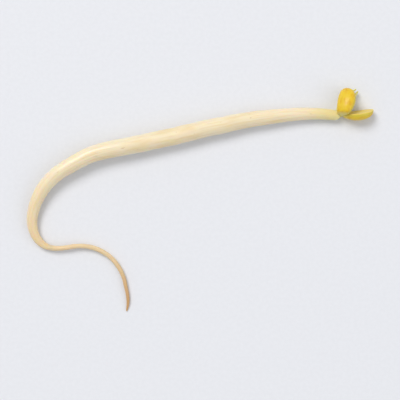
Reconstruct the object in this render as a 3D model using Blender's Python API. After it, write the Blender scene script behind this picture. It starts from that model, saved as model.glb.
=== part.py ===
"""A mung bean sprout lying on a surface, with its head at +X and its root curling back below -Y.

It has a long stem (the hypocotyl) that fattens in the middle and hooks round at its lower end, a
thin root, the two halves of the bean (the cotyledons) gaping like a beak, and between them a short
shoot (the epicotyl) with two folded first leaves.

Metres, +Z up. The origin is the middle of the sprout's footprint, on the surface it lies on.
"""

import math

import bmesh
import bpy
import numpy as np
from mathutils import Matrix, Vector

MM = 0.001
GAP = 0.3 * MM  # left between neighbouring organs
COLLET_GAP = 0.4 * MM  # wider, because the two faces there are tilted by the bend

# The plant's axis from its head to its root tip, in mm: x, y, and how far its underside is
# lifted off the surface. The points are chosen by hand, and a smooth curve runs through them.
AXIS_ROUTE_MM = (
    (29.2, 18.3, 0.3),
    (26.6, 18.5, 0.2),
    (18.9, 18.3, 0.0),
    (11.0, 17.3, 0.0),
    (3.0, 15.7, 0.0),
    (-4.8, 13.9, 0.0),
    (-12.8, 12.2, 0.1),
    (-20.0, 10.6, 0.4),
    (-26.0, 8.6, 0.5),
    (-31.0, 5.5, 0.4),
    (-34.6, 1.5, 0.2),
    (-36.5, -3.2, 0.0),
    (-36.4, -6.9, 0.0),
    (-34.8, -9.5, 0.2),
    (-31.6, -10.7, 0.5),
    (-27.7, -10.3, 0.6),
    (-24.5, -10.4, 0.5),
    (-21.8, -11.2, 0.4),
    (-19.6, -12.7, 0.2),
    (-18.0, -14.7, 0.1),
    (-16.8, -17.1, 0.1),
    (-16.1, -19.8, 0.2),
    (-15.8, -22.4, 0.1),
    (-16.1, -24.4, 0.0),
)

# Radius of the stem in mm against the share of its length, from the head down to the collet,
# which is where stem and root meet.
STEM_RADII_MM = (
    (0.00, 1.15),
    (0.05, 1.28),
    (0.15, 1.56),
    (0.30, 1.84),
    (0.48, 1.95),
    (0.65, 1.84),
    (0.78, 1.62),
    (0.88, 1.34),
    (0.95, 1.02),
    (1.00, 0.72),
)
ROOT_RADII_MM = (
    (0.00, 0.68),
    (0.10, 0.57),
    (0.30, 0.52),
    (0.70, 0.48),
    (0.88, 0.40),
    (1.00, 0.26),
)
STEM_LENGTH = 81.0 * MM
STEM_SIDES = 16
STEM_RINGS = 56
ROOT_SIDES = 10
ROOT_RINGS = 36
CAP_RINGS = 4
CUT_CAP = 0.18  # depth of a nearly flat end, as a share of its radius
ROUND_CAP = 0.9

COTYLEDON_LENGTH = 7.4 * MM  # with its stalk
COTYLEDON_WIDTH = 4.3 * MM
COTYLEDON_THICKNESS = 2.0 * MM
COTYLEDON_HOLLOW = 0.12 * MM  # depth of the dish in the inner face
COTYLEDON_BEND = 0.5 * MM  # how far the two ends bend towards the bean's eye
COTYLEDON_SEGMENTS = 20
COTYLEDON_RINGS = 16
STALK_RADIUS = 0.42 * MM
STALK_SHARE = 0.08  # of the seed half's length
STALK_FADE_SHARE = 0.4  # where the stalk has melted into the seed half
STALK_CAP_SHARE = 0.05
STALK_BEND = 0.8 * MM  # how far the stalk turns aside, towards the end of the stem
STALK_BEND_SHARE = 0.3

# Where each half of the bean joins the plant, which way it points, in degrees from +X and up
# from the surface, and how far it is rolled about its own length, from lying on its flat face.
UPPER_JOINT_MM = (30.8, 17.1, 3.88)
UPPER_HEADING, UPPER_PITCH, UPPER_ROLL = 75.0, -14.0, -34.0
LOWER_JOINT_MM = (30.4, 18.5, 2.1)
LOWER_HEADING, LOWER_PITCH, LOWER_ROLL = 7.0, 0.0, 106.0

EPICOTYL_LENGTH = 1.0 * MM
EPICOTYL_RADIUS = 0.5 * MM
EPICOTYL_BASE_MM = (30.1, 19.8, 1.25)
EPICOTYL_HEADING = 44.0
EPICOTYL_SIDES = 10
EPICOTYL_RINGS = 6

LEAF_LENGTH = 3.8 * MM
LEAF_HALF_WIDTH = 0.9 * MM
LEAF_END_HALF_WIDTH = 0.14 * MM
LEAF_FOLD_RADIUS = 0.62 * MM
LEAF_THICKNESS = 0.25 * MM
LEAF_BOW = 0.6 * MM  # how far each leaf's two ends lean towards the other leaf
LEAF_STEPS_ALONG = 12
LEAF_STEPS_ACROSS = 8


def clear_scene():
    for obj in list(bpy.data.objects):
        bpy.data.objects.remove(obj, do_unlink=True)


def material(name, colour, roughness, subsurface):
    """A Principled material; the colour is linear RGB."""
    made = bpy.data.materials.new(name)
    made.use_nodes = True
    shader = made.node_tree.nodes["Principled BSDF"]
    shader.inputs["Base Color"].default_value = (*colour, 1.0)
    shader.inputs["Roughness"].default_value = roughness
    shader.inputs["Metallic"].default_value = 0.0
    shader.inputs["Subsurface Weight"].default_value = subsurface
    made.diffuse_color = (*colour, 1.0)
    return made


def add_object(name, mesh, finish, parent):
    mesh.materials.append(finish)
    mesh.shade_smooth()
    mesh.set_sharp_from_angle(angle=math.radians(50))
    obj = bpy.data.objects.new(name, mesh)
    bpy.context.scene.collection.objects.link(obj)
    obj.parent = parent
    return obj


def spline(knots, values):
    """A natural cubic spline through the values, as a function of the knots' parameter."""
    knots = np.asarray(knots, float)
    values = np.asarray(values, float)
    count = len(knots)
    gaps = np.diff(knots)
    slopes = np.diff(values, axis=0) / gaps[:, None]
    system = np.eye(count)
    right = np.zeros_like(values)
    for i in range(1, count - 1):
        system[i, i - 1] = gaps[i - 1]
        system[i, i] = 2.0 * (gaps[i - 1] + gaps[i])
        system[i, i + 1] = gaps[i]
        right[i] = 6.0 * (slopes[i] - slopes[i - 1])
    bends = np.linalg.solve(system, right)

    def at(parameters):
        parameters = np.asarray(parameters, float)
        i = np.clip(np.searchsorted(knots, parameters, side="right") - 1, 0, count - 2)
        h = gaps[i][:, None]
        a = (knots[i + 1] - parameters)[:, None]
        b = (parameters - knots[i])[:, None]
        ends = values[i] * a / h + values[i + 1] * b / h
        bow = (a**3 / h - a * h) * bends[i] + (b**3 / h - b * h) * bends[i + 1]
        return ends + bow / 6.0

    return at


def axis_curve():
    """The plant's axis as a function of the distance along it, and its whole length, in metres."""
    route = np.array(AXIS_ROUTE_MM) * MM
    chords = np.linalg.norm(np.diff(route, axis=0), axis=1)
    knots = np.concatenate([[0.0], np.cumsum(chords)])
    curve = spline(knots, route)
    fine = np.linspace(0.0, knots[-1], 2000)
    steps = np.linalg.norm(np.diff(curve(fine), axis=0), axis=1)
    lengths = np.concatenate([[0.0], np.cumsum(steps)])

    def at(distances):
        return curve(np.interp(distances, lengths, fine))

    return at, lengths[-1]


def profile(radii_mm, shares):
    """Radii in metres at these shares of a length."""
    table = np.array(radii_mm)
    return spline(table[:, 0], table[:, 1:])(shares)[:, 0] * MM


def capped(centres, radii, start_cap, end_cap):
    """The same line of centres and radii with domed ends, whose depths are shares of the radius."""
    turns = np.linspace(0.0, math.pi / 2, CAP_RINGS + 1)[1:]
    out_start = centres[0] - centres[1]
    out_start /= np.linalg.norm(out_start)
    out_end = centres[-1] - centres[-2]
    out_end /= np.linalg.norm(out_end)
    start = [centres[0] + out_start * radii[0] * start_cap * math.sin(t) for t in turns[::-1]]
    end = [centres[-1] + out_end * radii[-1] * end_cap * math.sin(t) for t in turns]
    start_radii = [radii[0] * math.cos(t) for t in turns[::-1]]
    end_radii = [radii[-1] * math.cos(t) for t in turns]
    return (
        np.concatenate([start, centres, end]),
        np.concatenate([start_radii, radii, end_radii]),
    )


def tube_mesh(name, centres, radii, sides):
    """A closed tube with a flat side underneath. The radius is measured to the flats."""
    made = bmesh.new()
    tangents = np.gradient(centres, axis=0)
    half_side = math.pi / sides
    rings = []
    for centre, radius, tangent in zip(centres, radii, tangents):
        if radius < 1e-9:
            rings.append([made.verts.new(centre)])
            continue
        along = Vector(tangent).normalized()
        across = along.cross(Vector((0.0, 0.0, 1.0))).normalized()
        ring = []
        for k in range(sides):
            turn = -math.pi / 2 + half_side * (2 * k + 1)
            corner = radius / math.cos(half_side)
            up = Vector((0.0, 0.0, corner * math.sin(turn)))
            ring.append(made.verts.new(Vector(centre) + across * corner * math.cos(turn) + up))
        rings.append(ring)
    for first, second in zip(rings, rings[1:]):
        for k in range(sides):
            corners = [
                first[k % len(first)],
                first[(k + 1) % len(first)],
                second[(k + 1) % len(second)],
                second[k % len(second)],
            ]
            made.faces.new(list(dict.fromkeys(corners)))
    bmesh.ops.recalc_face_normals(made, faces=made.faces)
    mesh = bpy.data.meshes.new(name)
    made.to_mesh(mesh)
    made.free()
    return mesh


def axis_organ(curve, start, end, radii_mm, rings, sides, caps, name, finish, parent):
    """A stretch of the plant's axis, as a tube that follows it from start to end."""
    shares = np.linspace(0.0, 1.0, rings)
    route = curve(start + shares * (end - start))
    radii = profile(radii_mm, shares)
    centres = route.copy()
    centres[:, 2] = np.maximum(route[:, 2], 0.0) + radii  # nothing dips below the surface
    centres, radii = capped(centres, radii, *caps)
    return add_object(name, tube_mesh(name, centres, radii, sides), finish, parent)


def cotyledon_section(share):
    """Half width, depth outwards and depth inwards of a seed half, at this share of its length."""
    body = max(0.0, (share - STALK_SHARE) / (1.0 - STALK_SHARE))
    girth = math.sqrt(max(0.0, 1.0 - (2.0 * body - 1.0) ** 2))
    fullness = 0.86 + 0.18 * share  # widest past the middle, as on a bean
    end = 1.0 - min(share / STALK_CAP_SHARE, 1.0)
    stalk = STALK_RADIUS * math.sqrt(1.0 - end * end) * max(0.0, 1.0 - share / STALK_FADE_SHARE)
    half_width = COTYLEDON_WIDTH / 2.0 * girth**0.85 * fullness
    outward = COTYLEDON_THICKNESS * girth**0.8 * fullness
    return (
        (stalk**3 + half_width**3) ** (1 / 3),
        (stalk**3 + outward**3) ** (1 / 3),
        stalk * (1.0 - girth) - COTYLEDON_HOLLOW * girth,
    )


def cotyledon_mesh(eye_side):
    """Half a bean, along +X from its joint, flat face down and domed face up. Its ends and its
    stalk bend towards the bean's eye, on the side of +Y or -Y that eye_side, 1 or -1, gives."""
    made = bmesh.new()
    bmesh.ops.create_uvsphere(
        made,
        u_segments=COTYLEDON_SEGMENTS,
        v_segments=COTYLEDON_RINGS,
        radius=1.0,
        matrix=Matrix.Rotation(math.pi / 2, 4, "Y"),
    )
    for vert in made.verts:
        along, across, out = vert.co
        share = (1.0 + along) / 2.0
        turn = math.atan2(out, across)
        half_width, outward, inward = cotyledon_section(share)
        stalk_bend = STALK_BEND * max(0.0, 1.0 - share / STALK_BEND_SHARE) ** 2
        bend = COTYLEDON_BEND * along * along + stalk_bend
        y = half_width * math.cos(turn) + eye_side * bend
        if turn >= 0.0:
            z = outward * math.sin(turn) ** 0.9
        else:
            z = inward * math.sin(turn) * abs(math.sin(turn))
        vert.co = Vector((share * COTYLEDON_LENGTH, y, z))
    bmesh.ops.remove_doubles(made, verts=made.verts, dist=1e-7)
    bmesh.ops.recalc_face_normals(made, faces=made.faces)
    mesh = bpy.data.meshes.new("cotyledon")
    made.to_mesh(mesh)
    made.free()
    return mesh


def place(obj, joint_mm, heading, pitch, roll):
    """Puts an organ's joint at a point, and turns it: first rolled, then pitched, then headed."""
    obj.rotation_mode = "XYZ"
    obj.location = Vector(joint_mm) * MM
    obj.rotation_euler = (math.radians(roll), math.radians(-pitch), math.radians(heading))


def leaf_mesh():
    """A leaf folded round its midrib, along +X, with its hollow side facing +Z."""
    made = bmesh.new()
    rows = []
    for i in range(LEAF_STEPS_ALONG + 1):
        share = i / LEAF_STEPS_ALONG
        swell = max(0.0, math.sin(math.pi * share**0.85)) ** 0.9
        half_width = LEAF_END_HALF_WIDTH + (LEAF_HALF_WIDTH - LEAF_END_HALF_WIDTH) * swell
        lean = LEAF_BOW * (1.0 - swell)
        row = []
        for j in range(LEAF_STEPS_ACROSS + 1):
            turn = (2.0 * j / LEAF_STEPS_ACROSS - 1.0) * half_width / LEAF_FOLD_RADIUS
            y = LEAF_FOLD_RADIUS * math.sin(turn)
            z = LEAF_FOLD_RADIUS * (1.0 - math.cos(turn)) + lean
            row.append(made.verts.new((share * LEAF_LENGTH, y, z)))
        rows.append(row)
    for first, second in zip(rows, rows[1:]):
        for j in range(LEAF_STEPS_ACROSS):
            made.faces.new((first[j], second[j], second[j + 1], first[j + 1]))
    mesh = bpy.data.meshes.new("first_leaf")
    made.to_mesh(mesh)
    made.free()
    return mesh


def add_leaf(name, side, finish, parent):
    """One of the two leaves; side is 1 or -1, and the two face each other across the shoot."""
    heading = math.radians(EPICOTYL_HEADING)
    forward = Vector((math.cos(heading), math.sin(heading), 0.0))
    sideways = Vector((-math.sin(heading), math.cos(heading), 0.0))
    start = EPICOTYL_LENGTH + EPICOTYL_RADIUS * ROUND_CAP + GAP
    spread = LEAF_BOW + 0.6 * GAP
    leaf = add_object(name, leaf_mesh(), finish, parent)
    leaf.location = Vector(EPICOTYL_BASE_MM) * MM + forward * start + sideways * side * spread
    leaf.rotation_euler = (math.radians(90.0 * side), 0.0, heading)
    shell = leaf.modifiers.new("blade", "SOLIDIFY")
    shell.thickness = LEAF_THICKNESS
    shell.offset = -1.0  # outwards, away from the other leaf
    shell.use_even_offset = True
    return leaf


def build():
    clear_scene()
    sprout = bpy.data.objects.new("sprout", None)
    bpy.context.scene.collection.objects.link(sprout)

    stem_white = material("stem_tissue", (0.86, 0.74, 0.56), 0.38, 0.2)
    root_tan = material("root_tissue", (0.80, 0.62, 0.42), 0.5, 0.1)
    seed_yellow = material("seed_tissue", (0.78, 0.49, 0.05), 0.42, 0.15)
    shoot_cream = material("shoot_tissue", (0.84, 0.74, 0.42), 0.4, 0.2)
    leaf_yellow = material("leaf_tissue", (0.82, 0.68, 0.24), 0.45, 0.15)

    curve, length = axis_curve()
    axis_organ(
        curve, 0.0, STEM_LENGTH, STEM_RADII_MM, STEM_RINGS, STEM_SIDES,
        (0.5, CUT_CAP), "hypocotyl", stem_white, sprout,
    )
    cap_depth = CUT_CAP * (STEM_RADII_MM[-1][1] + ROOT_RADII_MM[0][1]) * MM
    axis_organ(
        curve, STEM_LENGTH + cap_depth + COLLET_GAP, length, ROOT_RADII_MM, ROOT_RINGS, ROOT_SIDES,
        (CUT_CAP, ROUND_CAP), "root", root_tan, sprout,
    )

    upper = add_object("cotyledon_upper", cotyledon_mesh(1), seed_yellow, sprout)
    place(upper, UPPER_JOINT_MM, UPPER_HEADING, UPPER_PITCH, UPPER_ROLL)
    lower = add_object("cotyledon_lower", cotyledon_mesh(-1), seed_yellow, sprout)
    place(lower, LOWER_JOINT_MM, LOWER_HEADING, LOWER_PITCH, LOWER_ROLL)

    shares = np.linspace(0.0, 1.0, EPICOTYL_RINGS)
    centres = np.zeros((EPICOTYL_RINGS, 3))
    centres[:, 0] = shares * EPICOTYL_LENGTH
    radii = EPICOTYL_RADIUS * (1.0 - 0.15 * shares)
    centres, radii = capped(centres, radii, ROUND_CAP, ROUND_CAP)
    shoot_mesh = tube_mesh("epicotyl", centres, radii, EPICOTYL_SIDES)
    shoot = add_object("epicotyl", shoot_mesh, shoot_cream, sprout)
    place(shoot, EPICOTYL_BASE_MM, EPICOTYL_HEADING, 0.0, 0.0)

    add_leaf("first_leaf_left", 1, leaf_yellow, sprout)
    add_leaf("first_leaf_right", -1, leaf_yellow, sprout)


if __name__ == "__main__":
    build()
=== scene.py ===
import math

import bmesh
import bpy
import numpy as np
from bpy.props import FloatProperty, FloatVectorProperty, IntProperty, PointerProperty
from mathutils import Matrix, Vector, noise


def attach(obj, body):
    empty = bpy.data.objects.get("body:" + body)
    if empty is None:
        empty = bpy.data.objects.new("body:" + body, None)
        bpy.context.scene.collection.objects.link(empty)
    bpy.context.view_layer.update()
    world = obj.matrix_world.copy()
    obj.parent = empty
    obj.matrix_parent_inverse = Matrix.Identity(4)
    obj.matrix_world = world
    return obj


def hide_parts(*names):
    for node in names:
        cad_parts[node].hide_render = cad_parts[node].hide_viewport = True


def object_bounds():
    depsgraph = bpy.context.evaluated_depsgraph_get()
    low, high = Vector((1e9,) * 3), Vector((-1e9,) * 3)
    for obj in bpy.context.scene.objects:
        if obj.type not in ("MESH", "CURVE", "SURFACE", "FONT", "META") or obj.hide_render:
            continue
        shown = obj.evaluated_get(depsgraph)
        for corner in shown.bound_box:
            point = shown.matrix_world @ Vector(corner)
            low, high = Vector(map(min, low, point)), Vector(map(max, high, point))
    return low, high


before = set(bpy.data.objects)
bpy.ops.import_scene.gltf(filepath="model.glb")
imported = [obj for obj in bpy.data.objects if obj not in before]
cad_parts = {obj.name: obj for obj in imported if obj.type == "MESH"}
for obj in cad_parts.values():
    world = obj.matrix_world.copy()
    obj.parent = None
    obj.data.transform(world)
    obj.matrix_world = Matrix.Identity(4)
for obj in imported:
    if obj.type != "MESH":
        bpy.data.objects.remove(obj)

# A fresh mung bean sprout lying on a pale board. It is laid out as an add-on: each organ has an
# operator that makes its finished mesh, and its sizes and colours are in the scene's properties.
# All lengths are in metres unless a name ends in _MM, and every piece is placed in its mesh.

bl_info = {
    "name": "Mung bean sprout",
    "version": (1, 0, 0),
    "blender": (4, 5, 0),
    "location": "3D View > Sidebar > Sprout",
    "description": "Makes a fresh mung bean sprout: stem, root, two seed halves, shoot and leaves",
    "category": "Add Mesh",
}

MM = 0.001
FRAME_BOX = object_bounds()

# The plant's axis from its head to its root tip, in mm: x, y, and how far its underside is
# lifted off the surface. The points are chosen, and a smooth curve runs through them.
AXIS_ROUTE_MM = (
    (29.2, 18.3, 0.3),
    (26.6, 18.5, 0.2),
    (18.9, 18.3, 0.0),
    (11.0, 17.3, 0.0),
    (3.0, 15.7, 0.0),
    (-4.8, 13.9, 0.0),
    (-12.8, 12.2, 0.1),
    (-20.0, 10.6, 0.4),
    (-26.0, 8.6, 0.5),
    (-31.0, 5.5, 0.4),
    (-34.6, 1.5, 0.2),
    (-36.5, -3.2, 0.0),
    (-36.4, -6.9, 0.0),
    (-34.8, -9.5, 0.2),
    (-31.6, -10.7, 0.5),
    (-27.7, -10.3, 0.6),
    (-24.5, -10.4, 0.5),
    (-21.8, -11.2, 0.4),
    (-19.6, -12.7, 0.2),
    (-18.0, -14.7, 0.1),
    (-16.8, -17.1, 0.1),
    (-16.1, -19.8, 0.2),
    (-15.8, -22.4, 0.1),
    (-16.1, -24.4, 0.0),
)
STEM_LENGTH = 81.0 * MM

# Radius in mm against the share of the organ's length, from the head downwards.
STEM_RADII_MM = (
    (0.00, 1.15),
    (0.05, 1.28),
    (0.15, 1.56),
    (0.30, 1.84),
    (0.48, 1.95),
    (0.65, 1.84),
    (0.78, 1.62),
    (0.88, 1.34),
    (0.95, 1.02),
    (1.00, 0.72),
)
ROOT_RADII_MM = (
    (0.00, 0.68),
    (0.10, 0.57),
    (0.30, 0.52),
    (0.70, 0.47),
    (0.88, 0.37),
    (0.96, 0.27),
    (1.00, 0.15),
)
SKIN_SHARE = 0.98  # of the frame's radius, so that lumps stay inside the frame's box
STEM_SPACING = 0.22 * MM  # between the rings of the skin
ROOT_SPACING = 0.11 * MM
DOME_RINGS = 12
DOME_DEPTH = 1.4 * MM  # how far the stem's end rounds out between the seed halves
JOIN_SHARE = 0.6  # of that dome, where the seed halves and the shoot join it
ROOT_TIP_DOME = 0.15 * MM
HIDDEN_DOMES = (0.2 * MM, 0.1 * MM)  # the ends of stem and root that are inside each other
STEM_SWELL_LENGTH = 7.0 * MM
STEM_RIB_SIZE = (0.75 * MM, 20.0 * MM)  # across it and along it
ROOT_SWELL_LENGTH = 2.2 * MM
ROOT_RIB_SIZE = (0.24 * MM, 3.0 * MM)
PLANT_SEED = 2.0  # one for stem and root, so that they wander as one
SHOOT_SEED = 8.0
ROOT_OVERLAP = 0.9 * MM  # how far the root starts inside the end of the stem
ROOT_SHEATH = 2.0 * MM  # the length of the root's start that is slimmer, inside the stem
TAIL_LENGTH = 3.0 * MM  # how far the stem's end runs on inside the root
TAIL_TAPER = 0.75  # the share of its radius that a hidden end loses
WANDER_START = 16.0 * MM  # from the head, where the line wanders fully
FULL_RELIEF_RADIUS = 0.5 * MM  # a thinner stretch has shallower swellings and ribs
WELD = 1e-7  # metres between points that are made one

# Each seed half lies along its own +X, flat face down, and is rolled, pitched and then turned.
SEED_LENGTH = 7.32 * MM  # with its stalk
SEED_WIDTH = 4.3 * MM
SEED_THICKNESS = 2.0 * MM
SEED_RINGS = 110
SEED_SEGMENTS = 96
SEED_FULLNESS = (0.86, 1.04)  # of those sizes, at the stalk and at the far end
OUTLINE_POWER = 0.85  # powers under 1 make a shape blunter than an ellipse
DEPTH_POWER = 0.8
DOMED_POWER = 0.9
RIM_POWER = 0.4
STALK_POWER = 3  # how soon the stalk gives way to the body
FURROW_WIDTH = 0.16  # of the half width
DIMPLE_SIZES = (1.3 * MM, 0.55 * MM)
FINE_DIMPLE_SHARE = 0.5  # of the coarse dimples' depth
DIMPLE_LEVEL = 0.2  # the domed side dips wherever its noise is below this
INNER_DIMPLE_SHARE = 0.6  # of the domed side's

# Shares of the seed half's length.
STALK_SHARE = 0.08
STALK_FADE_SHARE = 0.4
STALK_CAP_SHARE = 0.05
STALK_BEND_SHARE = 0.3
STALK_REACH_SHARE = 0.26  # the part that is drawn out to the end of the stem
STALK_TINT_SHARE = 0.22
UPPER_JOINT_MM = (30.8, 17.1, 3.88)
UPPER_TURNS = (75.0, -14.0, -34.0)  # heading, pitch and roll in degrees
LOWER_JOINT_MM = (30.4, 18.5, 2.1)
LOWER_TURNS = (7.0, 0.0, 106.0)

SHOOT_BASE_MM = (30.1, 19.8, 1.25)
SHOOT_HEADING = 44.0
SHOOT_LENGTH = 2.0 * MM  # with the part between the leaves
SHOOT_BASE_SHARE = 0.45  # of its way from the stem to its tip, where the base is
SHOOT_RADII = (0.525 * MM, 0.275 * MM)  # at the stem and at its tip
SHOOT_RINGS = 40
SHOOT_DOMES = (0.3 * MM, 0.4 * MM)
SHOOT_SWELL_SIZE = (0.03 * MM, 1.2 * MM)  # its depth and its length
SHOOT_RIB_DEPTH = 0.02 * MM
SHOOT_RIB_SIZE = (0.2 * MM, 2.0 * MM)
LEAF_START = 1.75 * MM  # along the shoot from its base
LEAF_LENGTH = 3.8 * MM
LEAF_STEPS = (72, 40)  # along it and across it
LEAF_END_HALF_WIDTH = 0.12 * MM
LEAF_WIDEST_POWER = 0.85  # under 1 the widest place moves towards the stalk
LEAF_OUTLINE_POWER = 0.9
LEAF_FOLD_RADIUS = 0.62 * MM
LEAF_BOW = 0.6 * MM
LEAF_SPREAD = 0.78 * MM
LEAF_RIPPLE = 0.02 * MM  # of its edges
MIDRIB_WIDTH = 0.09  # of the half width
VEIN_SLANT = 0.30  # how far a side vein runs forwards on its way to the edge, of the length
VEIN_SHARPNESS = 6
VEIN_FADE = 0.4
SIDE_VEIN_HEIGHT = 0.8  # of the midrib's

BOARD_REACH = 4.0  # half the board's side
BOARD_CORNERS = ((-1, -1), (1, -1), (1, 1), (-1, 1))
MAIN_LIGHT_PLACE = (-0.80, 1.04, 1.68)  # in metres from the middle of the sprout
MAIN_LIGHT_SIZE = 1.1
MAIN_LIGHT_COLOUR = (1.0, 0.985, 0.96)
FILL_LIGHT_PLACE = (1.36, -0.40, 1.04)
FILL_LIGHT_SIZE = 1.6
FILL_LIGHT_COLOUR = (0.96, 0.98, 1.0)
NEAREST_SEEN = 0.01


def linear(code):
    """A colour written as sRGB hex, in the linear values that shaders use."""
    parts = [int(code[i : i + 2], 16) / 255.0 for i in (1, 3, 5)]
    lit = [p / 12.92 if p <= 0.04045 else ((p + 0.055) / 1.055) ** 2.4 for p in parts]
    return (*lit, 1.0)


def colour_property(name, code, description):
    """A colour that a user can change. Its default is given as sRGB hex."""
    return FloatVectorProperty(
        name=name, description=description, subtype="COLOR", size=4, min=0.0, max=1.0,
        default=linear(code),
    )


def length_property(name, default, description):
    """A length that a user can change, in metres."""
    return FloatProperty(
        name=name, description=description, default=default, min=0.0, unit="LENGTH", precision=6,
    )


class SproutStem(bpy.types.PropertyGroup):
    """Sizes and colours of the stem and the root"""

    sides: IntProperty(
        name="Sides", description="Faces round the stem", default=64, min=12, max=128,
    )
    root_sides: IntProperty(
        name="Root sides", description="Faces round the root", default=40, min=12, max=128,
    )
    wander: length_property("Wander", 0.38 * MM, "How far the plant wanders from its line")
    wander_length: length_property("Wander length", 8.5 * MM, "How long each of its bends is")
    swell: length_property("Swelling", 0.07 * MM, "How far the stem thickens and thins")
    ribs: length_property("Ribs", 0.035 * MM, "Depth of the soft ribs along the stem")
    root_swell: length_property("Root swelling", 0.05 * MM, "How far the root thickens and thins")
    root_ribs: length_property("Root ribs", 0.035 * MM, "Depth of the wrinkles along the root")
    cream: colour_property("Stem", "#EFE2C4", "Colour of the full, juicy stem")
    shade: colour_property("Stem fibres", "#E5CE9C", "Colour of the fibres under its skin")
    neck: colour_property("Neck", "#E4D695", "Tint of the stem just under the head")
    bruise: colour_property("Bruises", "#C59D6C", "Colour of small knocks and scars")
    root: colour_property("Root", "#E4CBA0", "Colour of the root")
    root_tip: colour_property("Root tip", "#BF9058", "Colour of the drying root tip")


class SproutSeed(bpy.types.PropertyGroup):
    """Sizes and colours of the two halves of the bean"""

    hollow: length_property("Hollow", 0.16 * MM, "Depth of the dish in the inner face")
    bend: length_property("Bend", 0.5 * MM, "How far the ends bend towards the bean's eye")
    stalk_radius: length_property("Stalk radius", 0.60 * MM, "Radius of the short stalk")
    stalk_bend: length_property("Stalk bend", 0.3 * MM, "How far the stalk turns aside")
    rim: length_property("Rim", 0.34 * MM, "Height of the rounded rim round the inner face")
    dimple: length_property("Dimples", 0.05 * MM, "Depth of the dimples in the domed side")
    furrow: length_property("Furrow", 0.07 * MM, "Depth of the furrow along the inner face")
    golden: colour_property("Golden", "#E8C524", "Colour of the domed side")
    amber: colour_property("Amber", "#DDAA10", "Colour of its thickest, ripest places")
    green: colour_property("Greening", "#C9C04A", "Tint of its edges, where light greens it")
    stalk: colour_property("Stalk", "#DDD382", "Colour of the short stalk")
    inner: colour_property("Inner face", "#E9CE62", "Colour of the flat inner face")


class SproutShoot(bpy.types.PropertyGroup):
    """Sizes and colours of the shoot and its two folded leaves"""

    shoot_sides: IntProperty(
        name="Sides", description="Faces round the shoot", default=32, min=12, max=128,
    )
    leaf_half_width: length_property("Half width", 0.9 * MM, "Half the width of a leaf, unfolded")
    leaf_thickness: length_property("Thickness", 0.25 * MM, "Thickness of a leaf blade")
    vein_depth: length_property("Veins", 0.045 * MM, "Depth of the furrows between the veins")
    vein_pairs: IntProperty(
        name="Vein pairs", description="Side veins on each half of a leaf", default=7, min=2, max=16,
    )
    stalk: colour_property("Shoot", "#E8DFA6", "Colour of the shoot")
    blade: colour_property("Leaf", "#E6D87E", "Colour of the leaf blades")
    vein: colour_property("Veins", "#F0E6A8", "Colour of the veins")
    edge: colour_property("Leaf edge", "#C8C65C", "Colour of the greening edges")


class SproutStage(bpy.types.PropertyGroup):
    """The board, the light and the camera"""

    board: colour_property("Board", "#E5E6EA", "Colour of the pale board")
    board_shade: colour_property("Board's tooth", "#E3E4E8", "Colour in the tooth of its paint")
    fill: FloatProperty(
        name="Filled width", description="Share of the picture's width that the sprout takes",
        default=0.88, min=0.1, max=1.0, subtype="FACTOR",
    )
    lens: FloatProperty(
        name="Lens", description="Focal length in mm on a 36 mm sensor", default=100.0, min=10.0,
    )
    key: FloatProperty(name="Main light", description="Power in watts", default=26.0, min=0.0)
    soft: FloatProperty(name="Fill light", description="Power in watts", default=6.6, min=0.0)
    sky: FloatProperty(name="Surroundings", description="Strength", default=0.58, min=0.0)


# ---------------------------------------------------------------------------- nodes


def add_node(tree, kind, inputs=(), **settings):
    """Adds a node with its settings. Each input is linked to a socket, or to a node's first
    output, or else it is set to a value."""
    made = tree.nodes.new(kind)
    for name, value in settings.items():
        setattr(made, name, value)
    for key, value in dict(inputs).items():
        if isinstance(value, bpy.types.Node):
            value = value.outputs[0]
        if isinstance(value, bpy.types.NodeSocket):
            tree.links.new(value, made.inputs[key])
        else:
            made.inputs[key].default_value = value
    return made


def grain(tree, place, size_mm, detail):
    """Noise on a place in metres, whose grains have this size in mm along each of its axes."""
    scale = [1.0 / (size * MM) for size in size_mm]
    placed = add_node(tree, "ShaderNodeMapping", {"Vector": place, "Scale": scale})
    return add_node(
        tree, "ShaderNodeTexNoise", {"Vector": placed, "Scale": 1.0, "Detail": detail},
    )


def tinted(tree, colour, tint, mask, start, end, most):
    """A colour that turns to the tint, at most by this share, as the mask goes start to end."""
    share = add_node(
        tree, "ShaderNodeMapRange",
        {"Value": mask, "From Min": start, "From Max": end, "To Max": most},
        interpolation_type="SMOOTHSTEP",
    )
    made = add_node(tree, "ShaderNodeMix", {0: share, 6: colour, 7: tint}, data_type="RGBA")
    return made.outputs[2]


def make_finish(name, look, **settings):
    """A material of one Principled shader. The look function gets its tree, and returns the
    colour, the mask and range of its roughness, and the height and depth of its relief."""
    made = bpy.data.materials.new(name)
    made.use_nodes = True
    tree = made.node_tree
    shader = tree.nodes["Principled BSDF"]
    colour, mask, smooth, rough, height, depth = look(tree)
    roughness = add_node(
        tree, "ShaderNodeMapRange",
        {"Value": mask, "From Min": 0.3, "From Max": 0.7, "To Min": smooth, "To Max": rough},
    )
    relief = add_node(tree, "ShaderNodeBump", {"Height": height, "Distance": depth})
    tree.links.new(colour, shader.inputs["Base Color"])
    tree.links.new(roughness.outputs[0], shader.inputs["Roughness"])
    tree.links.new(relief.outputs[0], shader.inputs["Normal"])
    for key, value in settings.items():
        shader.inputs[key.replace("_", " ")].default_value = value
    return made


# ------------------------------------------------------------------------ materials

# Each grain's size is in mm. These sizes were set so that the grain shows. None was
# worked out from measured tissue, and real fibres and wrinkles are likely to be finer.


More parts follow.
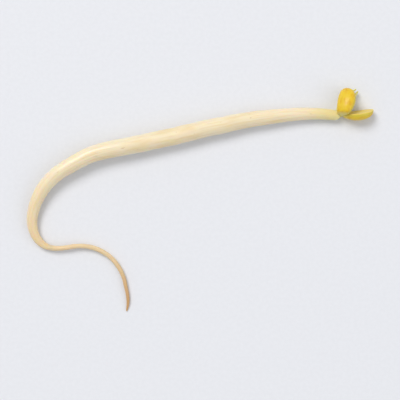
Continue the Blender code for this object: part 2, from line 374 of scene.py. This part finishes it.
def axis_colour(tree, colours):
    """The colour along the plant's axis, and its fibres. The stem and the root share it, so
    there is no seam: cream tissue with darker fibres and clouds, green-tinged under the head,
    tan from the collet down, brown at the drying root tip, and here and there a knock."""
    place = add_node(tree, "ShaderNodeAttribute", attribute_name="strand").outputs["Vector"]
    along = add_node(tree, "ShaderNodeSeparateXYZ", {0: place}).outputs["Z"]
    fibres = grain(tree, place, (0.34, 0.34, 8.0), 4.0)
    clouds = grain(tree, place, (2.2, 2.2, 6.5), 2.0)
    knocks = grain(tree, place, (0.5, 0.5, 1.3), 2.0)

    colour = tinted(tree, colours.cream, colours.shade, fibres, 0.42, 0.72, 0.60)
    colour = tinted(tree, colour, colours.shade, clouds, 0.45, 0.75, 0.60)
    colour = tinted(tree, colour, colours.neck, along, 8.0 * MM, 0.0, 0.85)
    colour = tinted(tree, colour, colours.root, along, 62.0 * MM, 84.0 * MM, 0.9)
    colour = tinted(tree, colour, colours.bruise, knocks, 0.68, 0.80, 0.50)
    colour = tinted(tree, colour, colours.root_tip, along, 94.0 * MM, 108.0 * MM, 0.8)
    return colour, fibres, place


def stem_material(colours):
    """Raw stem tissue: full of water under a thin waxy skin, so light goes in and comes out warm,
    long fibres show as faint streaks, and the surface has a soft wet sheen."""

    def look(tree):
        colour, fibres, _ = axis_colour(tree, colours)
        return colour, fibres, 0.30, 0.42, fibres, 0.012 * MM

    return make_finish(
        "fresh_stem_tissue", look, IOR=1.40,
        Subsurface_Weight=0.75, Subsurface_Radius=(1.0, 0.70, 0.32), Subsurface_Scale=1.0 * MM,
        Coat_Weight=0.22, Coat_Roughness=0.14,
    )


def root_material(colours):
    """Root tissue: tougher and drier than the stem, so it is duller, less clear and finely
    wrinkled lengthwise."""

    def look(tree):
        colour, fibres, place = axis_colour(tree, colours)
        wrinkles = grain(tree, place, (0.13, 0.13, 1.6), 4.0)
        colour = tinted(tree, colour, colours.bruise, wrinkles, 0.48, 0.80, 0.40)
        return colour, fibres, 0.34, 0.50, wrinkles, 0.02 * MM

    return make_finish(
        "fresh_root_tissue", look, IOR=1.42,
        Subsurface_Weight=0.45, Subsurface_Radius=(1.0, 0.68, 0.36), Subsurface_Scale=0.5 * MM,
        Coat_Weight=0.12, Coat_Roughness=0.22,
    )


def seed_material(colours):
    """Bean flesh: dense and waxy, golden yellow, ambering where it is thick and greening at the
    edges, with a paler, duller inner face and fine wrinkles that run along it."""

    def look(tree):
        place = add_node(tree, "ShaderNodeAttribute", attribute_name="seed_place")
        side = add_node(tree, "ShaderNodeAttribute", attribute_name="seed_side")
        zones = add_node(tree, "ShaderNodeSeparateXYZ", {0: side.outputs["Vector"]})
        inner, rim, stalk = zones.outputs
        mottle = grain(tree, place.outputs["Vector"], (1.9, 0.9, 0.9), 4.0)
        wrinkles = grain(tree, place.outputs["Vector"], (1.6, 0.16, 0.16), 3.0)

        colour = tinted(tree, colours.golden, colours.amber, mottle, 0.40, 0.68, 0.75)
        colour = tinted(tree, colour, colours.green, rim, 0.0, 1.0, 0.65)
        colour = tinted(tree, colour, colours.inner, inner, 0.0, 0.8, 0.90)
        colour = tinted(tree, colour, colours.stalk, stalk, 0.0, 0.8, 0.95)
        colour = tinted(tree, colour, colours.inner, wrinkles, 0.52, 0.75, 0.30)
        height = add_node(
            tree, "ShaderNodeMath", {0: mottle, 1: wrinkles}, operation="ADD",
        )
        return colour, wrinkles, 0.34, 0.48, height, 0.03 * MM

    return make_finish(
        "golden_bean_flesh", look, IOR=1.45,
        Subsurface_Weight=0.30, Subsurface_Radius=(0.9, 0.75, 0.10), Subsurface_Scale=0.4 * MM,
        Coat_Weight=0.12, Coat_Roughness=0.22,
    )


def shoot_material(colours):
    """Shoot tissue: the same moist tissue as the stem, but younger and greener."""

    def look(tree):
        place = add_node(tree, "ShaderNodeAttribute", attribute_name="strand")
        fibres = grain(tree, place.outputs["Vector"], (0.16, 0.16, 2.0), 3.0)
        colour = tinted(tree, colours.stalk, colours.edge, fibres, 0.40, 0.70, 0.60)
        return colour, fibres, 0.30, 0.44, fibres, 0.012 * MM

    return make_finish(
        "fresh_shoot_tissue", look, IOR=1.40,
        Subsurface_Weight=0.5, Subsurface_Radius=(0.9, 0.8, 0.3), Subsurface_Scale=0.5 * MM,
        Coat_Weight=0.15, Coat_Roughness=0.18,
    )


def leaf_material(colours):
    """A first leaf that has hardly seen light: thin, soft and yellow, with paler veins and edges
    that have begun to green. Its fine down gives it a dull sheen."""

    def look(tree):
        place = add_node(tree, "ShaderNodeAttribute", attribute_name="leaf_place")
        _, outward, vein = add_node(
            tree, "ShaderNodeSeparateXYZ", {0: place.outputs["Vector"]},
        ).outputs
        body = add_node(tree, "ShaderNodeTexCoord").outputs["Object"]
        mottle = grain(tree, body, (0.30, 0.30, 0.30), 3.0)
        colour = tinted(tree, colours.blade, colours.edge, mottle, 0.40, 0.70, 0.50)
        colour = tinted(tree, colour, colours.edge, outward, 0.50, 1.0, 0.80)
        colour = tinted(tree, colour, colours.vein, vein, 0.0, 1.0, 0.70)
        return colour, mottle, 0.42, 0.58, mottle, 0.01 * MM

    return make_finish(
        "young_leaf_blade", look, IOR=1.42,
        Subsurface_Weight=0.4, Subsurface_Radius=(0.8, 0.8, 0.2), Subsurface_Scale=0.3 * MM,
        Sheen_Weight=0.2, Sheen_Roughness=0.5,
    )


def board_material(colours):
    """A matt painted board: pale and even, with a fine tooth and hardly any shine."""

    def look(tree):
        body = add_node(tree, "ShaderNodeTexCoord").outputs["Object"]
        tooth = grain(tree, body, (0.8, 0.8, 0.8), 2.0)
        paint = tinted(tree, colours.board, colours.board_shade, tooth, 0.3, 0.7, 1.0)
        return paint, tooth, 0.70, 0.80, tooth, 0.003 * MM

    return make_finish("matt_painted_board", look, IOR=1.45)


# --------------------------------------------------------------------------- shapes


def spline(knots, values):
    """A natural cubic spline through the values, as a function of the knots' parameter."""
    knots = np.asarray(knots, float)
    values = np.asarray(values, float)
    count = len(knots)
    gaps = np.diff(knots)
    slopes = np.diff(values, axis=0) / gaps[:, None]
    system = np.eye(count)
    right = np.zeros_like(values)
    for i in range(1, count - 1):
        system[i, i - 1] = gaps[i - 1]
        system[i, i] = 2.0 * (gaps[i - 1] + gaps[i])
        system[i, i + 1] = gaps[i]
        right[i] = 6.0 * (slopes[i] - slopes[i - 1])
    bends = np.linalg.solve(system, right)

    def at(parameters):
        parameters = np.asarray(parameters, float)
        i = np.clip(np.searchsorted(knots, parameters, side="right") - 1, 0, count - 2)
        h = gaps[i][:, None]
        a = (knots[i + 1] - parameters)[:, None]
        b = (parameters - knots[i])[:, None]
        ends = values[i] * a / h + values[i + 1] * b / h
        bow = (a**3 / h - a * h) * bends[i] + (b**3 / h - b * h) * bends[i + 1]
        return ends + bow / 6.0

    return at


def plant_axis():
    """The plant's axis as a function of the distance along it, and its whole length."""
    route = np.array(AXIS_ROUTE_MM) * MM
    chords = np.linalg.norm(np.diff(route, axis=0), axis=1)
    knots = np.concatenate([[0.0], np.cumsum(chords)])
    curve = spline(knots, route)
    fine = np.linspace(0.0, knots[-1], 4000)
    steps = np.linalg.norm(np.diff(curve(fine), axis=0), axis=1)
    lengths = np.concatenate([[0.0], np.cumsum(steps)])

    def at(distances):
        return curve(np.interp(distances, lengths, fine))

    return at, lengths[-1]


def with_domes(centres, radii, start_depth, end_depth):
    """The line of centres and radii with a dome added at each end, closing to a point."""
    turns = np.linspace(0.0, math.pi / 2, DOME_RINGS + 1)[1:, None]
    start_way = centres[0] - centres[1]
    start_way /= np.linalg.norm(start_way)
    end_way = centres[-1] - centres[-2]
    end_way /= np.linalg.norm(end_way)
    start = centres[0] + start_way * start_depth * np.sin(turns[::-1])
    end = centres[-1] + end_way * end_depth * np.sin(turns)
    start_radii = radii[0] * np.cos(turns[::-1, 0])
    end_radii = radii[-1] * np.cos(turns[:, 0])
    return np.concatenate([start, centres, end]), np.concatenate([start_radii, radii, end_radii])


def resting_line(start, end, radii_mm, spacing, tail=0.0):
    """Centres and radii of a stretch of the plant's axis, and of a slimmer tail past its end.
    Nothing dips below the surface that it lies on."""
    axis, _ = plant_axis()
    along = np.arange(start, end + tail + spacing / 2.0, spacing)
    shares = np.minimum((along - start) / (end - start), 1.0)
    table = np.array(radii_mm)
    radii = spline(table[:, 0], table[:, 1:])(shares)[:, 0] * MM * SKIN_SHARE
    centres = axis(along)
    centres[:, 2] = np.maximum(centres[:, 2], 0.0) + radii
    if tail:
        radii *= 1.0 - TAIL_TAPER * np.clip((along - end) / tail, 0.0, 1.0)
    return centres, radii


def tissue_tube_tree():
    """A node tree that sweeps a skin along a curve whose radius is its thickness. The line
    wanders a little, and the skin swells and has soft ribs. The attribute strand keeps each
    point's place on the straightened strand: across it in X and Y, and along it in Z."""
    tree = bpy.data.node_groups.new("tissue_tube", "GeometryNodeTree")
    for name, kind in (
        ("Geometry", "NodeSocketGeometry"),
        ("Start", "NodeSocketFloat"),
        ("Sides", "NodeSocketInt"),
        ("Wander", "NodeSocketFloat"),
        ("Wander length", "NodeSocketFloat"),
        ("Swell depth", "NodeSocketFloat"),
        ("Swell length", "NodeSocketFloat"),
        ("Rib depth", "NodeSocketFloat"),
        ("Rib width", "NodeSocketFloat"),
        ("Rib length", "NodeSocketFloat"),
        ("Seed", "NodeSocketFloat"),
        ("Material", "NodeSocketMaterial"),
    ):
        tree.interface.new_socket(name, in_out="INPUT", socket_type=kind)
    tree.interface.new_socket("Geometry", in_out="OUTPUT", socket_type="NodeSocketGeometry")
    given = tree.nodes.new("NodeGroupInput").outputs

    def add(kind, inputs=(), **settings):
        return add_node(tree, kind, inputs, **settings)

    def centred_noise(vector, output):
        """Noise from -1 to 1 or so, that depends on the seed."""
        made = add(
            "ShaderNodeTexNoise", {"Vector": vector, "W": given["Seed"], "Scale": 1.0},
            noise_dimensions="4D",
        )
        half = (0.5, 0.5, 0.5)
        moved = add(
            "ShaderNodeVectorMath", {0: made.outputs[output], 1: half}, operation="SUBTRACT",
        )
        return add("ShaderNodeVectorMath", {0: moved, "Scale": 2.0}, operation="SCALE")

    # The line: it wanders sideways, more and more from the head on. What follows it at the same
    # distance from the head wanders with it, so the root stays in line with the stem.
    run = add("GeometryNodeSplineParameter").outputs["Length"]
    way = add("ShaderNodeMath", {0: run, 1: given["Start"]}, operation="ADD")
    step = add("ShaderNodeMath", {0: way, 1: given["Wander length"]}, operation="DIVIDE")
    drift = centred_noise(add("ShaderNodeCombineXYZ", {0: step}), "Color")
    share = add("ShaderNodeMath", {0: way, 1: WANDER_START}, operation="DIVIDE", use_clamp=True)
    reach = add("ShaderNodeMath", {0: share, 1: given["Wander"]}, operation="MULTIPLY")
    reach = add("ShaderNodeCombineXYZ", {0: reach, 1: reach})
    drift = add("ShaderNodeVectorMath", {0: drift, 1: reach}, operation="MULTIPLY")
    line = add("GeometryNodeSetPosition", {"Geometry": given["Geometry"], "Offset": drift})
    line = add("GeometryNodeSetCurveNormal", {"Curve": line}, mode="Z_UP")
    line = add("GeometryNodeStoreNamedAttribute", {"Geometry": line, "Name": "along", "Value": way})
    thickness = add("GeometryNodeInputRadius")
    line = add(
        "GeometryNodeStoreNamedAttribute",
        {"Geometry": line, "Name": "thickness", "Value": thickness},
    )

    # The skin, swept round the line.
    ring = add("GeometryNodeCurvePrimitiveCircle", {"Resolution": given["Sides"], "Radius": 1.0})
    ring = add(
        "GeometryNodeStoreNamedAttribute",
        {"Geometry": ring, "Name": "around", "Value": add("GeometryNodeInputPosition")},
        data_type="FLOAT_VECTOR",
    )
    skin = add("GeometryNodeCurveToMesh", {"Curve": line, "Profile Curve": ring, "Scale": thickness})
    skin = add("GeometryNodeMergeByDistance", {"Geometry": skin, "Distance": WELD})
    around = add("GeometryNodeInputNamedAttribute", {"Name": "around"}, data_type="FLOAT_VECTOR")
    radius = add("GeometryNodeInputNamedAttribute", {"Name": "thickness"}, data_type="FLOAT")
    along = add("GeometryNodeInputNamedAttribute", {"Name": "along"}, data_type="FLOAT")
    across = add("ShaderNodeVectorMath", {0: around, "Scale": radius}, operation="SCALE")
    across = add("ShaderNodeSeparateXYZ", {0: across})
    strand = add("ShaderNodeCombineXYZ", {0: across.outputs[0], 1: across.outputs[1], 2: along})
    skin = add(
        "GeometryNodeStoreNamedAttribute", {"Geometry": skin, "Name": "strand", "Value": strand},
        data_type="FLOAT_VECTOR",
    )
    strand = add("GeometryNodeInputNamedAttribute", {"Name": "strand"}, data_type="FLOAT_VECTOR")

    # Swellings and ribs: noise whose grains are this wide and this long on the strand.
    relief = 0.0
    for width, length, depth in (
        ("Swell length", "Swell length", "Swell depth"), ("Rib width", "Rib length", "Rib depth"),
    ):
        sizes = add("ShaderNodeCombineXYZ", {0: given[width], 1: given[width], 2: given[length]})
        cells = add("ShaderNodeVectorMath", {0: strand, 1: sizes}, operation="DIVIDE")
        height = add(
            "ShaderNodeMath", {0: centred_noise(cells, "Fac"), 1: given[depth]},
            operation="MULTIPLY",
        )
        relief = add("ShaderNodeMath", {0: height, 1: relief}, operation="ADD")
    fade = add(
        "ShaderNodeMath", {0: radius, 1: FULL_RELIEF_RADIUS}, operation="DIVIDE", use_clamp=True,
    )
    relief = add("ShaderNodeMath", {0: relief, 1: fade}, operation="MULTIPLY")
    push = add(
        "ShaderNodeVectorMath", {0: add("GeometryNodeInputNormal"), "Scale": relief},
        operation="SCALE",
    )
    skin = add("GeometryNodeSetPosition", {"Geometry": skin, "Offset": push})

    # Nothing goes below the surface that the plant lies on.
    held = add(
        "ShaderNodeVectorMath", {0: add("GeometryNodeInputPosition"), 1: (-1.0, -1.0, 0.0)},
        operation="MAXIMUM",
    )
    skin = add("GeometryNodeSetPosition", {"Geometry": skin, "Position": held})
    skin = add("GeometryNodeSetShadeSmooth", {"Geometry": skin})
    skin = add("GeometryNodeRealizeInstances", {"Geometry": skin})
    skin = add("GeometryNodeSetMaterial", {"Geometry": skin, "Material": given["Material"]})
    add("NodeGroupOutput", {"Geometry": skin})
    return tree


def faces_outwards(mesh):
    """Turns every face of a closed mesh outwards."""
    shape = bmesh.new()
    shape.from_mesh(mesh)
    bmesh.ops.recalc_face_normals(shape, faces=shape.faces)
    shape.to_mesh(mesh)
    shape.free()


def swept_piece(name, centres, radii, material, sizes):
    """A plain mesh object of the tissue tube along a line of centres, with these sizes."""
    path = bpy.data.curves.new(name + "_line", "CURVE")
    path.dimensions = "3D"
    points = path.splines.new("POLY").points
    points.add(len(centres) - 1)
    for point, centre, radius in zip(points, centres, radii):
        point.co = (*centre, 1.0)
        point.radius = radius
    guide = bpy.data.objects.new(name + "_line", path)
    bpy.context.scene.collection.objects.link(guide)
    tree = bpy.data.node_groups.get("tissue_tube") or tissue_tube_tree()
    sockets = {
        item.name: item.identifier
        for item in tree.interface.items_tree
        if item.in_out == "INPUT"
    }
    sweep = guide.modifiers.new("sweep", "NODES")
    sweep.node_group = tree
    for key, value in {**sizes, "Material": material}.items():
        sweep[sockets[key]] = value
    graph = bpy.context.evaluated_depsgraph_get()
    mesh = bpy.data.meshes.new_from_object(guide.evaluated_get(graph))
    mesh.name = name
    guide.modifiers.remove(sweep)
    bpy.data.objects.remove(guide)
    bpy.data.curves.remove(path)
    faces_outwards(mesh)
    piece = bpy.data.objects.new(name, mesh)
    bpy.context.scene.collection.objects.link(piece)
    return piece


def mesh_piece(name, points, faces, material, attributes):
    """A smooth mesh object from points and faces, with vector attributes on its points."""
    mesh = bpy.data.meshes.new(name)
    mesh.from_pydata([tuple(p) for p in points], [], faces)
    for title, values in attributes.items():
        layer = mesh.attributes.new(title, "FLOAT_VECTOR", "POINT")
        layer.data.foreach_set("vector", np.asarray(values, float).ravel())
    mesh.materials.append(material)
    mesh.shade_smooth()
    piece = bpy.data.objects.new(name, mesh)
    bpy.context.scene.collection.objects.link(piece)
    return piece


def turned(heading, pitch, roll):
    """The turn that rolls an organ about its length, pitches it up and then heads it."""
    return (
        Matrix.Rotation(math.radians(heading), 4, "Z")
        @ Matrix.Rotation(math.radians(-pitch), 4, "Y")
        @ Matrix.Rotation(math.radians(roll), 4, "X")
    )


def stem_end():
    """A place inside the rounded end of the stem, where the seed halves and the shoot join."""
    centres, _ = resting_line(0.0, STEM_LENGTH, STEM_RADII_MM, 1.0 * MM)
    way = Vector(centres[0] - centres[1]).normalized()
    return Vector(centres[0]) + way * DOME_DEPTH * JOIN_SHARE


def seed_section(share, sizes):
    """A seed half at this share of its length: its half width, its depth outwards, the radius
    of its stalk, and its girth as a share of its fullest."""
    body = max(0.0, (share - STALK_SHARE) / (1.0 - STALK_SHARE))
    girth = math.sqrt(max(0.0, 1.0 - (2.0 * body - 1.0) ** 2))
    fullness = SEED_FULLNESS[0] + (SEED_FULLNESS[1] - SEED_FULLNESS[0]) * share
    end = 1.0 - min(share / STALK_CAP_SHARE, 1.0)
    fade = max(0.0, 1.0 - share / STALK_FADE_SHARE)
    stalk = sizes.stalk_radius * math.sqrt(1.0 - end * end) * fade
    half_width = SKIN_SHARE * SEED_WIDTH / 2.0 * girth**OUTLINE_POWER * fullness
    outward = SKIN_SHARE * SEED_THICKNESS * girth**DEPTH_POWER * fullness
    half_width, outward = (
        (stalk**STALK_POWER + size**STALK_POWER) ** (1.0 / STALK_POWER)
        for size in (half_width, outward)
    )
    return half_width, outward, stalk, girth


def seed_half(name, joint_mm, turns, eye_side, sizes, material):
    """One half of the bean, with its stalk reaching into the end of the stem. Its eye is on its
    left if eye_side is 1, and on its right if it is -1."""
    place = Matrix.Translation(Vector(joint_mm) * MM) @ turned(*turns)
    reach = stem_end() - place @ Vector((0.0, eye_side * (sizes.bend + sizes.stalk_bend), 0.0))
    offset = Vector((3.1 * eye_side, 7.7, 1.9 * eye_side))  # so the two halves' dimples differ
    points, spots, zones, rings = [], [], [], []
    for i in range(SEED_RINGS + 1):
        angle = math.pi * i / SEED_RINGS
        share = (1.0 - math.cos(angle)) / 2.0
        half_width, outward, stalk, girth = seed_section(share, sizes)
        aside = sizes.stalk_bend * max(0.0, 1.0 - share / STALK_BEND_SHARE) ** 2
        bend = sizes.bend * math.cos(angle) ** 2 + aside
        rim = sizes.rim * math.sqrt(girth)
        count = SEED_SEGMENTS if 0 < i < SEED_RINGS else 1
        rings.append(range(len(points), len(points) + count))
        for j in range(count):
            turn = 2.0 * math.pi * j / SEED_SEGMENTS
            across, out = math.cos(turn), math.sin(turn)
            y = half_width * across + eye_side * bend
            furrow = sizes.furrow * math.exp(-((across / FURROW_WIDTH) ** 2))
            dish = (sizes.hollow * (1.0 - across**2) + furrow) * girth - stalk * (1.0 - girth)
            if out >= 0.0:
                z = rim + (outward - rim) * out**DOMED_POWER
            else:
                z = rim + (dish - rim) * (-out) ** RIM_POWER
            spot = Vector((share * SEED_LENGTH, y, z))
            coarse = noise.noise(spot / DIMPLE_SIZES[0] + offset)
            fine = noise.noise(spot / DIMPLE_SIZES[1] - offset)
            dent = coarse + FINE_DIMPLE_SHARE * fine
            if out >= 0.0:
                spot.z += sizes.dimple * min(0.0, dent - DIMPLE_LEVEL) * girth * out
            else:
                inside = min(1.0, -2.0 * out)
                spot.z += sizes.dimple * INNER_DIMPLE_SHARE * dent * girth * inside
            drawn = reach * max(0.0, 1.0 - share / STALK_REACH_SHARE) ** 2
            world = place @ spot + drawn
            world.z = max(world.z, 0.0)
            points.append(world)
            spots.append(spot)

            # The masks of the inner face, the rim and the stalk.
            inner = max(0.0, min(1.0, -3.0 * out))
            edge = max(0.0, 1.0 - abs(out) * 2.2) if share > 0.1 else 0.0
            zones.append((inner, edge, max(0.0, 1.0 - share / STALK_TINT_SHARE)))
    faces = []
    for first, second in zip(rings, rings[1:]):
        for j in range(SEED_SEGMENTS):
            corners = [
                first[j % len(first)],
                first[(j + 1) % len(first)],
                second[(j + 1) % len(second)],
                second[j % len(second)],
            ]
            faces.append(list(dict.fromkeys(corners)))
    piece = mesh_piece(
        name, points, faces, material, {"seed_place": spots, "seed_side": zones},
    )
    faces_outwards(piece.data)
    return piece


def folded_leaf(name, side, sizes, material):
    """A leaf folded round its midrib. The side is 1 or -1, and the two leaves face each other."""
    along, across = LEAF_STEPS
    heading = math.radians(SHOOT_HEADING)
    forward = Vector((math.cos(heading), math.sin(heading), 0.0))
    sideways = Vector((-math.sin(heading), math.cos(heading), 0.0))
    start = Vector(SHOOT_BASE_MM) * MM + forward * LEAF_START + sideways * side * LEAF_SPREAD
    place = (
        Matrix.Translation(start)
        @ Matrix.Rotation(heading, 4, "Z")
        @ Matrix.Rotation(math.radians(90.0 * side), 4, "X")
    )
    points, places = [], []
    for i in range(along + 1):
        share = i / along
        swell = max(0.0, math.sin(math.pi * share**LEAF_WIDEST_POWER)) ** LEAF_OUTLINE_POWER
        widening = sizes.leaf_half_width - LEAF_END_HALF_WIDTH
        half_width = LEAF_END_HALF_WIDTH + widening * swell
        lean = LEAF_BOW * (1.0 - swell)
        for j in range(across + 1):
            edge = 2.0 * j / across - 1.0
            turn = edge * half_width / LEAF_FOLD_RADIUS
            phase = (share - VEIN_SLANT * abs(edge)) * sizes.vein_pairs * 2.0 * math.pi
            side_vein = max(0.0, math.cos(phase)) ** VEIN_SHARPNESS * (1.0 - abs(edge)) ** VEIN_FADE
            midrib = math.exp(-((edge / MIDRIB_WIDTH) ** 2))
            vein = min(1.0, midrib + side_vein * SIDE_VEIN_HEIGHT)
            ripple = LEAF_RIPPLE * math.sin(9.0 * share + 2.0 * side) * abs(edge) ** 3
            radius = LEAF_FOLD_RADIUS - sizes.vein_depth * (1.0 - vein) * swell + ripple
            y = radius * math.sin(turn)
            z = LEAF_FOLD_RADIUS - radius * math.cos(turn) + lean
            points.append(place @ Vector((share * LEAF_LENGTH, y, z)))
            places.append((share, abs(edge), vein * swell))
    faces = []
    row = across + 1
    for i in range(along):
        for j in range(across):
            a = i * row + j
            faces.append((a, a + row, a + row + 1, a + 1))
    blade = mesh_piece(name, points, faces, material, {"leaf_place": places})
    shell = blade.modifiers.new("blade", "SOLIDIFY")
    shell.thickness = sizes.leaf_thickness
    shell.offset = -1.0
    graph = bpy.context.evaluated_depsgraph_get()
    solid = bpy.data.meshes.new_from_object(blade.evaluated_get(graph))
    blade.modifiers.remove(shell)
    blade.data = solid
    faces_outwards(solid)
    return blade


# ------------------------------------------------------------------------ operators


def settle(piece, slot, *nodes):
    """Hands a finished piece over to the frame: it joins the root body, and the frame's parts that
    it stands for are hidden. The slot is not used.
    """
    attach(piece, "root")
    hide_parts(*nodes)


class SPROUT_OT_stem(bpy.types.Operator):
    """Sweep the stem's skin from the head down to the collet"""

    bl_idname = "sprout.stem"
    bl_label = "Stem"

    def execute(self, context):
        sizes = context.scene.sprout_stem
        centres, radii = resting_line(
            0.0, STEM_LENGTH, STEM_RADII_MM, STEM_SPACING, TAIL_LENGTH,
        )
        centres, radii = with_domes(centres, radii, DOME_DEPTH, HIDDEN_DOMES[0])
        piece = swept_piece(
            "stem_skin", centres, radii, stem_material(sizes),
            {
                "Start": -DOME_DEPTH, "Sides": sizes.sides, "Seed": PLANT_SEED,
                "Wander": sizes.wander, "Wander length": sizes.wander_length,
                "Swell depth": sizes.swell, "Swell length": STEM_SWELL_LENGTH,
                "Rib depth": sizes.ribs,
                "Rib width": STEM_RIB_SIZE[0], "Rib length": STEM_RIB_SIZE[1],
            },
        )
        settle(piece, "stem_tissue", "hypocotyl")
        return {"FINISHED"}


class SPROUT_OT_root(bpy.types.Operator):
    """Sweep the root from inside the end of the stem to its tip"""

    bl_idname = "sprout.root"
    bl_label = "Root"

    def execute(self, context):
        sizes = context.scene.sprout_stem
        _, length = plant_axis()
        start = STEM_LENGTH - ROOT_OVERLAP
        centres, radii = resting_line(start, length, ROOT_RADII_MM, ROOT_SPACING)
        depth_in = 1.0 - np.arange(len(radii)) * ROOT_SPACING / ROOT_SHEATH
        radii *= 1.0 - TAIL_TAPER * np.maximum(depth_in, 0.0) ** 2
        centres, radii = with_domes(centres, radii, HIDDEN_DOMES[1], ROOT_TIP_DOME)
        piece = swept_piece(
            "root_skin", centres, radii, root_material(sizes),
            {
                "Start": start, "Sides": sizes.root_sides, "Seed": PLANT_SEED,
                "Wander": sizes.wander, "Wander length": sizes.wander_length,
                "Swell depth": sizes.root_swell, "Swell length": ROOT_SWELL_LENGTH,
                "Rib depth": sizes.root_ribs,
                "Rib width": ROOT_RIB_SIZE[0], "Rib length": ROOT_RIB_SIZE[1],
            },
        )
        settle(piece, "root_tissue", "root")
        return {"FINISHED"}


class SPROUT_OT_seed(bpy.types.Operator):
    """Make the two halves of the bean and set them gaping on the stem's end"""

    bl_idname = "sprout.seed"
    bl_label = "Seed halves"

    def execute(self, context):
        sizes = context.scene.sprout_seed
        flesh = seed_material(sizes)
        for node, joint, turns, eye_side in (
            ("cotyledon_upper", UPPER_JOINT_MM, UPPER_TURNS, 1),
            ("cotyledon_lower", LOWER_JOINT_MM, LOWER_TURNS, -1),
        ):
            piece = seed_half(node + "_flesh", joint, turns, eye_side, sizes, flesh)
            settle(piece, "seed_tissue", node)
        return {"FINISHED"}


class SPROUT_OT_shoot(bpy.types.Operator):
    """Make the short shoot between the seed halves, and its two folded leaves"""

    bl_idname = "sprout.shoot"
    bl_label = "Shoot and leaves"

    def execute(self, context):
        sizes = context.scene.sprout_shoot
        heading = math.radians(SHOOT_HEADING)
        forward = np.array((math.cos(heading), math.sin(heading), 0.0))
        base = np.array(SHOOT_BASE_MM) * MM
        node = np.array(stem_end())
        tip = base + forward * SHOOT_LENGTH
        way = spline((0.0, SHOOT_BASE_SHARE, 1.0), (node, base, tip))
        path = way(np.linspace(0.0, 1.0, SHOOT_RINGS))
        radii = np.linspace(*SHOOT_RADII, SHOOT_RINGS)
        centres, radii = with_domes(path, radii, *SHOOT_DOMES)
        piece = swept_piece(
            "shoot_skin", centres, radii, shoot_material(sizes),
            {
                "Start": 0.0, "Sides": sizes.shoot_sides, "Seed": SHOOT_SEED,
                "Wander": 0.0, "Wander length": 1.0 * MM,
                "Swell depth": SHOOT_SWELL_SIZE[0], "Swell length": SHOOT_SWELL_SIZE[1],
                "Rib depth": SHOOT_RIB_DEPTH,
                "Rib width": SHOOT_RIB_SIZE[0], "Rib length": SHOOT_RIB_SIZE[1],
            },
        )
        settle(piece, "shoot_tissue", "epicotyl")
        blade = leaf_material(sizes)
        for node, side in (("first_leaf_left", 1), ("first_leaf_right", -1)):
            leaf = folded_leaf(node + "_blade", side, sizes, blade)
            settle(leaf, "leaf_tissue", node)
        return {"FINISHED"}


class SPROUT_OT_stage(bpy.types.Operator):
    """Lay the board, and set the light and the camera"""

    bl_idname = "sprout.stage"
    bl_label = "Board, light and camera"

    def execute(self, context):
        stage = context.scene.sprout_stage
        low, high = (Vector(corner) for corner in FRAME_BOX)
        middle = (low + high) / 2.0
        corners = [(x * BOARD_REACH, y * BOARD_REACH, 0.0) for x, y in BOARD_CORNERS]
        board = mesh_piece("board", corners, [(0, 1, 2, 3)], board_material(stage), {})

        def area_light(name, spot, size, power, colour):
            lamp = bpy.data.lights.new(name, "AREA")
            lamp.shape = "DISK"
            lamp.size = size
            lamp.energy = power
            lamp.color = colour
            holder = bpy.data.objects.new(name, lamp)
            holder.location = middle + Vector(spot)
            holder.rotation_euler = (-Vector(spot)).to_track_quat("-Z", "Y").to_euler()
            context.scene.collection.objects.link(holder)

        area_light(
            "main_softbox", MAIN_LIGHT_PLACE, MAIN_LIGHT_SIZE, stage.key, MAIN_LIGHT_COLOUR,
        )
        area_light(
            "fill_softbox", FILL_LIGHT_PLACE, FILL_LIGHT_SIZE, stage.soft, FILL_LIGHT_COLOUR,
        )

        world = bpy.data.worlds.new("pale_studio")
        world.use_nodes = True
        sky = world.node_tree.nodes["Background"]
        sky.inputs["Color"].default_value = linear("#F3F5F9")
        sky.inputs["Strength"].default_value = stage.sky
        context.scene.world = world
        context.scene.view_settings.view_transform = "Standard"

        lens = bpy.data.cameras.new("camera")
        lens.lens = stage.lens
        lens.clip_start = NEAREST_SEEN
        camera = bpy.data.objects.new("camera", lens)
        width = (high.x - low.x) / stage.fill
        height = width * stage.lens / lens.sensor_width
        camera.location = (middle.x, middle.y, high.z + height)
        context.scene.collection.objects.link(camera)
        context.scene.camera = camera
        return {"FINISHED"}


class SPROUT_PT_parts(bpy.types.Panel):
    """Lists the sprout's sizes and colours, and the operators that make it"""

    bl_label = "Mung bean sprout"
    bl_space_type = "VIEW_3D"
    bl_region_type = "UI"
    bl_category = "Sprout"

    def draw(self, context):
        for title, holder, operators in (
            ("Stem and root", "sprout_stem", ("sprout.stem", "sprout.root")),
            ("Seed halves", "sprout_seed", ("sprout.seed",)),
            ("Shoot and leaves", "sprout_shoot", ("sprout.shoot",)),
            ("Stage", "sprout_stage", ("sprout.stage",)),
        ):
            box = self.layout.box()
            box.label(text=title)
            settings = getattr(context.scene, holder)
            for name in settings.__annotations__:
                box.prop(settings, name)
            for operator in operators:
                box.operator(operator)


GROUPS = {
    "sprout_stem": SproutStem,
    "sprout_seed": SproutSeed,
    "sprout_shoot": SproutShoot,
    "sprout_stage": SproutStage,
}
OPERATORS = (SPROUT_OT_stem, SPROUT_OT_root, SPROUT_OT_seed, SPROUT_OT_shoot, SPROUT_OT_stage)


def register():
    for kind in (*GROUPS.values(), *OPERATORS, SPROUT_PT_parts):
        bpy.utils.register_class(kind)
    for holder, kind in GROUPS.items():
        setattr(bpy.types.Scene, holder, PointerProperty(type=kind))


def unregister():
    for holder in GROUPS:
        delattr(bpy.types.Scene, holder)
    for kind in reversed((*GROUPS.values(), *OPERATORS, SPROUT_PT_parts)):
        bpy.utils.unregister_class(kind)


def main():
    register()
    bpy.ops.sprout.stem()
    bpy.ops.sprout.root()
    bpy.ops.sprout.seed()
    bpy.ops.sprout.shoot()
    bpy.ops.sprout.stage()


if __name__ == "__main__":
    main()
